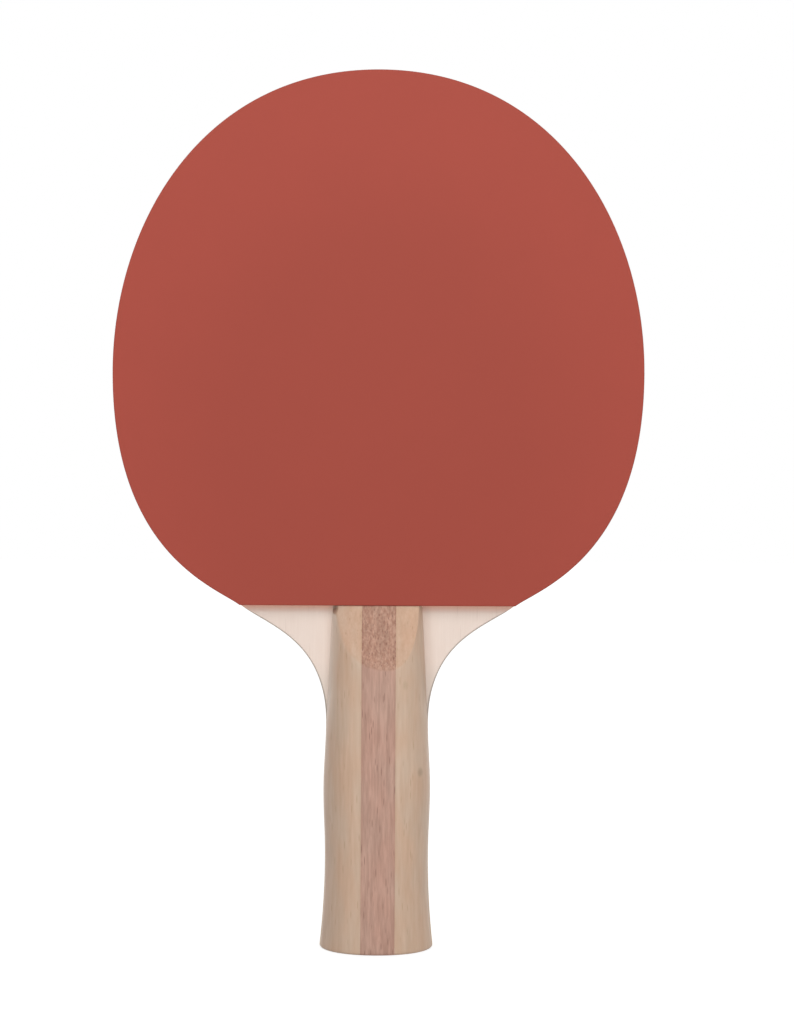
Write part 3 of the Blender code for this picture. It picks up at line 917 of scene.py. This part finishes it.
def rubber(name, face, cut, rim_light, gloss):
    """Natural rubber, moulded smooth and matt. It has a faint mottle and a fine grain, and its cut
    edge is darker than its face, which on the edge's round is painted shade. Painted light makes it
    paler towards the top and the sides."""
    material, tree, shader, millimetres = new_finish(name)
    uneven = {"Vector": millimetres, "Scale": 1 / MOTTLE_SIZE, **MOTTLE_NOISE}
    mottle = add(tree, "ShaderNodeTexNoise", uneven)
    fine = {"Vector": millimetres, "Scale": 1 / RUBBER_GRAIN, **RUBBER_NOISE}
    grain = add(tree, "ShaderNodeTexNoise", fine)
    weighed = {0: grain, 1: GRAIN_WEIGHT, 2: mottle}
    figure = add(tree, "ShaderNodeMath", weighed, operation="MULTIPLY_ADD")
    mean = (GRAIN_WEIGHT + 1) / 2
    darkest, lightest = 1 - LEVEL_SWING, 1 + LEVEL_SWING
    swing = {0: figure, 1: mean - LEVEL_SPREAD, 2: mean + LEVEL_SPREAD, 3: darkest, 4: lightest}
    level = add(tree, "ShaderNodeMapRange", swing)
    depth = add(tree, "ShaderNodeSeparateXYZ", {"Vector": millimetres}).outputs["Y"]
    out = add(tree, "ShaderNodeMath", {0: depth}, operation="ABSOLUTE")
    # The cut edge has the rubber's own darker colour, and on the round of the face it is painted
    # shade
    edge = {0: out, 1: SHEET_FACE - SHEET_ROUNDING, 2: SHEET_FACE - CUT_END, 3: 1.0, 4: 0.0}
    on_cut_and_round = add(tree, "ShaderNodeMapRange", edge)
    tones = {0: on_cut_and_round, 6: linear(face), 7: linear(cut)}
    toned = add(tree, "ShaderNodeMix", tones, data_type="RGBA")
    # Painted light: the rubber is paler towards the top and the sides
    flat = add(tree, "ShaderNodeMapping", {"Vector": millimetres, "Scale": RIM_LIGHT_STRETCH})
    away = add(tree, "ShaderNodeVectorMath", {0: flat, 1: RIM_LIGHT_MIDDLE}, operation="DISTANCE")
    towards_rim = {0: away, 1: RIM_LIGHT_START, 2: RIM_LIGHT_FULL, 3: 0.0, 4: RIM_LIGHT_SHARE}
    left = add(tree, "ShaderNodeMapRange", towards_rim, interpolation_type="SMOOTHSTEP")
    rim_lit = {0: left, 6: toned, 7: linear(rim_light)}
    with_rim_light = add(tree, "ShaderNodeMix", rim_lit, data_type="RGBA")
    smoothest, roughest = RUBBER_ROUGHNESS
    rough = {0: grain, 1: NOISE_LOW, 2: NOISE_HIGH, 3: smoothest, 4: roughest}
    scaled = {0: with_rim_light, "Scale": level}
    look = {
        "Base Color": add(tree, "ShaderNodeVectorMath", scaled, operation="SCALE"),
        "Roughness": add(tree, "ShaderNodeMapRange", rough),
        "Normal": add(tree, "ShaderNodeBump", {"Height": grain, **RUBBER_RELIEF}),
        "IOR": RUBBER_IOR,
        "Specular IOR Level": gloss,
    }
    feed(tree, shader, look)
    return material


def foam(name, pale, pit):
    """Fine-celled foam rubber, cut with a knife: matt, with open cells whose pits are painted
    darker as shade."""
    material, tree, shader, millimetres = new_finish(name)
    cells = add(tree, "ShaderNodeTexVoronoi", {"Vector": millimetres, "Scale": 1 / CELL_SIZE})
    pit_middle, pit_end = CELL_RANGE
    hollow = {0: cells, 1: pit_middle, 2: pit_end, 3: 1.0, 4: 0.0}
    # Painted shade in the pits of the cells
    pits = add(tree, "ShaderNodeMapRange", hollow)
    tones = {0: pits, 6: linear(pale), 7: linear(pit)}
    in_pit, on_wall = FOAM_ROUGHNESS
    look = {
        "Base Color": add(tree, "ShaderNodeMix", tones, data_type="RGBA"),
        "Roughness": add(tree, "ShaderNodeMapRange", {0: cells, 3: in_pit, 4: on_wall}),
        "Normal": add(tree, "ShaderNodeBump", {"Height": cells, **FOAM_RELIEF}),
    }
    feed(tree, shader, look)
    return material


def make_finishes():
    """The finish of each of the record's material slots. A wood's fibre says how far its pattern is
    drawn out along each axis, and its band, streak, pore spacing and pore radius are sizes across
    the fibre."""
    up_the_blade = (1, 1, 1 / 25)
    across_the_blade = (1 / 25, 1, 1)
    return {
        # Basswood, peeled into veneer and sanded: almost white and matt, with hardly any figure.
        # Real pores are under a tenth of a millimetre wide. These are drawn coarser so that they
        # show.
        "face_veneer": wood(
            "basswood_veneer_sanded",
            pale="#F8E7DB",
            dark="#EEDACD",
            pore="#E9D5C8",
            fibre=up_the_blade,
            band=5.0,
            streak=0.6,
            contrast=0.5,
            pore_spacing=0.9,
            pore_radius=0.1,
            roughness=0.6,
            wear_and_painted_light=veneer_painted_shade,
        ),
        # Limba, peeled, laid with its fibre across the blade and sanded at the edge: light brown,
        # with dark dots of end grain at the sides.
        "crossband_wood": wood(
            "limba_crossband_sanded",
            pale="#CDAB80",
            dark="#B8936A",
            pore="#8E6C48",
            fibre=across_the_blade,
            band=2.5,
            streak=0.4,
            contrast=1.0,
            pore_spacing=0.6,
            pore_radius=0.12,
            roughness=0.7,
        ),
        # Ayous, sawn thick and sanded at the edge: straw-coloured and dull, with open pores that
        # show as short dark lines.
        "core_wood": wood(
            "ayous_core_sanded",
            pale="#DDC6A2",
            dark="#CCB18A",
            pore="#A68A60",
            fibre=up_the_blade,
            band=3.0,
            streak=0.5,
            contrast=1.0,
            pore_spacing=0.8,
            pore_radius=0.14,
            roughness=0.7,
        ),
        # Ayous again, planed, glued up and sanded to the oval: an even greyish cream with soft
        # streaks and hardly any pores.
        "pale_grip_wood": wood(
            "ayous_grip_strip_sanded",
            pale="#D6BCA5",
            dark="#CBAF97",
            pore="#C2A58B",
            fibre=(1, 1, 1 / 10),
            band=4.0,
            streak=1.1,
            contrast=1.2,
            pore_spacing=0.9,
            pore_radius=0.12,
            roughness=0.55,
            wear_and_painted_light=partial(strip_wear_and_painted_light, flush="#FFF6F0", ground_tint="#FFF8F4", pit_tint="#FBF8F6"),
            fuzz=0.1,
        ),
        # Meranti, planed, glued up and sanded with the strips beside it: pinkish brown, with long
        # open pores that show as fine dark lines.
        "centre_grip_wood": wood(
            "meranti_grip_strip_sanded",
            pale="#C69F8D",
            dark="#B08B7A",
            pore="#946D5E",
            fibre=(1, 1, 1 / 12),
            band=2.4,
            streak=0.65,
            contrast=1.8,
            pore_spacing=0.6,
            pore_radius=0.1,
            roughness=0.55,
            wear_and_painted_light=partial(strip_wear_and_painted_light, flush="#FFF8F6", ground_tint="#FFFEF7", pit_tint="#E2D2CB"),
            fuzz=0.1,
        ),
        # Foam rubber, skived to a sheet and cut with the top sheet: cream, dull and finely pitted.
        "sponge": foam("foam_rubber_cream", pale="#E5CFA0", pit="#C9AE7C"),
        # Natural rubber, moulded against a polished plate: an even matt red with a soft sheen.
        "red_rubber": rubber(
            "natural_rubber_sheet_red", face="#A04030", cut="#85372B", rim_light="#FF6C5E", gloss=0.36
        ),
        # The same rubber, moulded alike and coloured with soot: a deep matt black. Gloss shows
        # more on black, and is set lower.
        "black_rubber": rubber(
            "natural_rubber_sheet_black", face="#1E1E21", cut="#18181A", rim_light="#55555A", gloss=0.22
        ),
    }


# Setting

WHITE = "#FFFFFF"

# Strength of the world's light on the object
DAYLIGHT = 0.39

# Softboxes: place, the point that they face, width and height in metres, and watts. One hangs
# above and before the racket, a low wide one stands behind the camera, and one stands on each side
# behind the racket.
LAMPS = {
    "key_softbox": ((0.02, -0.3, 0.4), (0.0, 0.0, 0.2), 0.7, 0.25, 0.82),
    "low_fill": ((0.0, -0.6, 0.08), (0.0, 0.0, 0.15), 0.9, 0.14, 1.3),
    "left_rear_softbox": ((-0.44, 0.55, 0.3), (0.0, 0.0, 0.13), 0.3, 0.5, 1.7),
    "right_rear_softbox": ((0.44, 0.55, 0.3), (0.0, 0.0, 0.13), 0.3, 0.5, 1.45),
}

# Floor: half its size, how far it lies below the butt, the grey that it throws back on the object,
# the grey that takes the shadow, and the glow that the camera sees, from near to far in metres
FLOOR_HALF = 4000.0
FLOOR_DROP = 0.05
FLOOR_BOUNCE = "#C8C8C8"
FLOOR_SHADED = "#A6A6A6"
GLOW_NEAR = 0.35
GLOW_FAR = 1.2
GLOW_LEAST = 0.78
GLOW_MOST = 0.97

# Camera: its distance, how far it stands to the right and above the butt, its roll, its sensor,
# and the height that it takes in at the racket
CAMERA_DISTANCE = 500.0
CAMERA_RIGHT = 5.4
CAMERA_HEIGHT = 123.15
CAMERA_ROLL = math.radians(0.28)
CAMERA_SENSOR = 36.0
VIEW_HEIGHT = 293.4


def seen_plainly(tree):
    """Is 1 for the camera's own rays and for reflected and transmitted ones, and 0 for light on the
    object."""
    rays = add(tree, "ShaderNodeLightPath").outputs
    seen = rays["Is Camera Ray"]
    for other in ("Is Glossy Ray", "Is Transmission Ray"):
        seen = add(tree, "ShaderNodeMath", {0: seen, 1: rays[other]}, operation="MAXIMUM")
    return seen


def make_surroundings():
    """A white studio: soft light of one level from all round, seen as plain white."""
    world = bpy.data.worlds.new("white_studio")
    bpy.context.scene.world = world
    world.use_nodes = True
    tree = world.node_tree
    tree.nodes.clear()
    shining = {"Color": linear(WHITE), "Strength": DAYLIGHT}
    lighting = add(tree, "ShaderNodeBackground", shining)
    backdrop = add(tree, "ShaderNodeBackground", {"Color": linear(WHITE), "Strength": 1.0})
    either = {0: seen_plainly(tree), 1: lighting, 2: backdrop}
    chosen = add(tree, "ShaderNodeMixShader", either)
    add(tree, "ShaderNodeOutputWorld", {"Surface": chosen})


def make_floor():
    """White table: part of what the camera sees is a glow, and the rest is paint that takes the
    shadow. The glow rises with the distance, where the lamps no longer reach."""
    mesh = bpy.data.meshes.new("floor")
    corners = np.array([(-1, -1), (1, -1), (1, 1), (-1, 1)]) * FLOOR_HALF * MM
    mesh.from_pydata([(x, y, -FLOOR_DROP * MM) for x, y in corners], [], [(0, 1, 2, 3)])
    floor = bpy.data.objects.new("floor", mesh)
    bpy.context.scene.collection.objects.link(floor)
    material = bpy.data.materials.new("white_paper_floor")
    material.use_nodes = True
    tree = material.node_tree
    tree.nodes.clear()
    bouncing = add(tree, "ShaderNodeBsdfDiffuse", {"Color": linear(FLOOR_BOUNCE)})
    shaded = add(tree, "ShaderNodeBsdfDiffuse", {"Color": linear(FLOOR_SHADED)})
    place = add(tree, "ShaderNodeTexCoord").outputs["Object"]
    away = add(tree, "ShaderNodeVectorMath", {0: place}, operation="LENGTH")
    rising = {0: away, 1: GLOW_NEAR, 2: GLOW_FAR, 3: GLOW_LEAST, 4: GLOW_MOST}
    glow = add(tree, "ShaderNodeMapRange", rising)
    bright = add(tree, "ShaderNodeEmission", {"Strength": glow})
    white = add(tree, "ShaderNodeAddShader", {0: shaded, 1: bright})
    either = {0: seen_plainly(tree), 1: bouncing, 2: white}
    chosen = add(tree, "ShaderNodeMixShader", either)
    add(tree, "ShaderNodeOutputMaterial", {"Surface": chosen})
    mesh.materials.append(material)


def hang_lamps():
    """Soft rectangular lamps, each turned to face its point."""
    for name, (place, target, width, height, watts) in LAMPS.items():
        lamp = bpy.data.lights.new(name, "AREA")
        lamp.shape = "RECTANGLE"
        lamp.size = width
        lamp.size_y = height
        lamp.energy = watts
        box = bpy.data.objects.new(name, lamp)
        bpy.context.scene.collection.objects.link(box)
        box.location = place
        box.rotation_mode = "QUATERNION"
        box.rotation_quaternion = (Vector(place) - Vector(target)).to_track_quat("Z", "Y")


def make_camera():
    """Level with the middle of the racket and half a metre from it, framed as the photograph."""
    lens = bpy.data.cameras.new("camera")
    lens.sensor_width = CAMERA_SENSOR
    lens.lens = CAMERA_DISTANCE * CAMERA_SENSOR / VIEW_HEIGHT
    camera = bpy.data.objects.new("camera", lens)
    bpy.context.scene.collection.objects.link(camera)
    camera.location = Vector((CAMERA_RIGHT, -CAMERA_DISTANCE, CAMERA_HEIGHT)) * MM
    camera.rotation_mode = "QUATERNION"
    upright = Vector((0, 1, 0)).to_track_quat("-Z", "Y")
    camera.rotation_quaternion = upright @ Quaternion((0, 0, 1), CAMERA_ROLL)
    bpy.context.scene.camera = camera


finishes = make_finishes()
make_blade(finishes)
make_grip(finishes)
make_coverings(finishes)
make_surroundings()
make_floor()
hang_lamps()
make_camera()
bpy.context.scene.view_settings.view_transform = "Standard"
